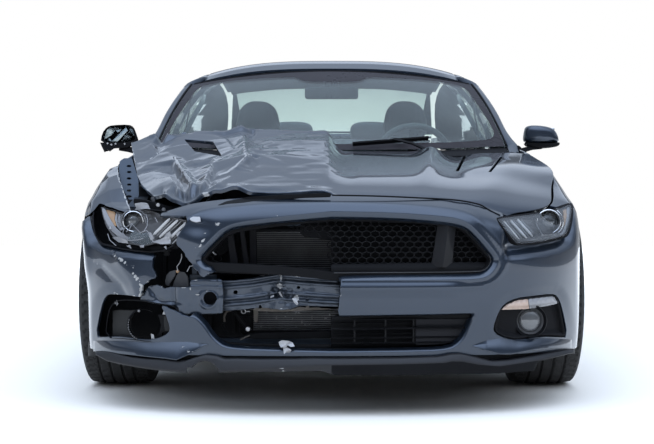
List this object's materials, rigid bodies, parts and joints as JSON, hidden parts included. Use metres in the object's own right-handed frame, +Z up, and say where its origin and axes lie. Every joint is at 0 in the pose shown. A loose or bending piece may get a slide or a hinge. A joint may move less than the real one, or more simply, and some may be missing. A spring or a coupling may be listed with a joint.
{
  "type": "crashed two-door coupe car",
  "caption": "Two-door sports coupe with a crushed right front corner, torn bumper cover, buckled hood and broken mirror; wheels, steering, doors, hood and boot lid move.",
  "frame": {"origin": "on the ground under the middle of the car's length and width", "axes": "+X to the car's left side, +Y to the rear, +Z up; the car's nose points along -Y"},
  "size_m": [2.06, 4.7809, 1.3815],
  "materials": {
    "paint": "clear-coated slate blue metallic",
    "structure": "thin body-colour primer, dull",
    "beam": "e-coat, scraped",
    "black_plastic": "grained",
    "cast": "raw cast and machined",
    "rubber_tyre": "tread and sidewall",
    "rim_metal": "dark grey cast, machined edge",
    "radiator_core": "fins",
    "clear_glass": "green tinted",
    "lamp_clear": "clear lens",
    "lamp_red": "red lens",
    "seat_trim": "black",
    "cabin_plastic": "soft grained",
    "exhaust_steel": "heat-dulled"
  },
  "bodies": {
    "body_shell": {"floor_pan": "structure", "front_structure": "structure", "bumper_beam": "beam", "radiator": "radiator_core", "engine_block": "cast", "front_bumper": "paint", "grilles": "black_plastic", "chin_lip": "black_plastic", "headlight_left": "lamp_clear", "headlight_right": "lamp_clear", "fog_lamps": "black_plastic", "fender_left": "paint", "fender_right": "paint", "windshield": "clear_glass", "roof_panel": "paint", "pillar_frame": "paint", "quarter_panels": "paint", "rear_glass": "clear_glass", "rear_bumper": "paint", "tail_lamps": "lamp_red", "side_skirts": "paint", "front_seats": "seat_trim", "rear_bench": "seat_trim", "dashboard": "cabin_plastic", "subframes": "structure", "exhaust": "exhaust_steel"},
    "hood": {"hood": "paint"},
    "trunk_lid": {"trunk_lid": "paint"},
    "door_left": {"door_left": "paint", "door_glass_left": "clear_glass", "mirror_left": "paint"},
    "door_right": {"door_right": "paint", "door_glass_right": "clear_glass", "mirror_right": "paint"},
    "steering_wheel": {"steering_wheel": "cabin_plastic"},
    "knuckle_left": {"knuckle_left": "cast"},
    "knuckle_right": {"knuckle_right": "cast"},
    "wheel_front_left": {"tyre_front_left": "rubber_tyre", "rim_front_left": "rim_metal"},
    "wheel_front_right": {"tyre_front_right": "rubber_tyre", "rim_front_right": "rim_metal"},
    "wheel_rear_left": {"tyre_rear_left": "rubber_tyre", "rim_rear_left": "rim_metal"},
    "wheel_rear_right": {"tyre_rear_right": "rubber_tyre", "rim_rear_right": "rim_metal"}
  },
  "joints": [
    {"name": "hood_hinge", "type": "hinge", "parent": "body_shell", "child": "hood", "pos_m": [0, -0.762, 0.93], "axis": [-1, 0, 0], "range_deg": [0, 50]},
    {"name": "trunk_hinge", "type": "hinge", "parent": "body_shell", "child": "trunk_lid", "pos_m": [0, 1.838, 1.058], "axis": [1, 0, 0], "range_deg": [0, 75]},
    {"name": "door_left_hinge", "type": "hinge", "parent": "body_shell", "child": "door_left", "pos_m": [0.896, -0.77, 0.5], "axis": [0, 0, -1], "range_deg": [0, 65]},
    {"name": "door_right_hinge", "type": "hinge", "parent": "body_shell", "child": "door_right", "pos_m": [-0.896, -0.77, 0.5], "axis": [0, 0, 1], "range_deg": [0, 65]},
    {"name": "steer_left", "type": "hinge", "parent": "body_shell", "child": "knuckle_left", "pos_m": [0.72, -1.437, 0.343], "axis": [0, 0, 1], "range_deg": [-32, 32]},
    {"name": "steer_right", "type": "hinge", "parent": "body_shell", "child": "knuckle_right", "pos_m": [-0.72, -1.437, 0.343], "axis": [0, 0, 1], "range_deg": [-32, 32]},
    {"name": "steering_wheel_turn", "type": "hinge", "parent": "body_shell", "child": "steering_wheel", "pos_m": [0.38, -0.15, 0.882], "axis": [0, 0.9063, 0.4226], "range_deg": [-512, 512]},
    {"name": "wheel_front_left_spin", "type": "hinge", "parent": "knuckle_left", "child": "wheel_front_left", "pos_m": [0.791, -1.437, 0.343], "axis": [1, 0, 0], "continuous": true},
    {"name": "wheel_front_right_spin", "type": "hinge", "parent": "knuckle_right", "child": "wheel_front_right", "pos_m": [-0.791, -1.437, 0.343], "axis": [1, 0, 0], "continuous": true},
    {"name": "wheel_rear_left_spin", "type": "hinge", "parent": "body_shell", "child": "wheel_rear_left", "pos_m": [0.822, 1.283, 0.343], "axis": [1, 0, 0], "continuous": true},
    {"name": "wheel_rear_right_spin", "type": "hinge", "parent": "body_shell", "child": "wheel_rear_right", "pos_m": [-0.822, 1.283, 0.343], "axis": [1, 0, 0], "continuous": true}
  ],
  "couplings": [
    {"joint": "steer_right", "follows": "steer_left", "ratio": 1},
    {"joint": "steering_wheel_turn", "follows": "steer_left", "ratio": 16}
  ]
}
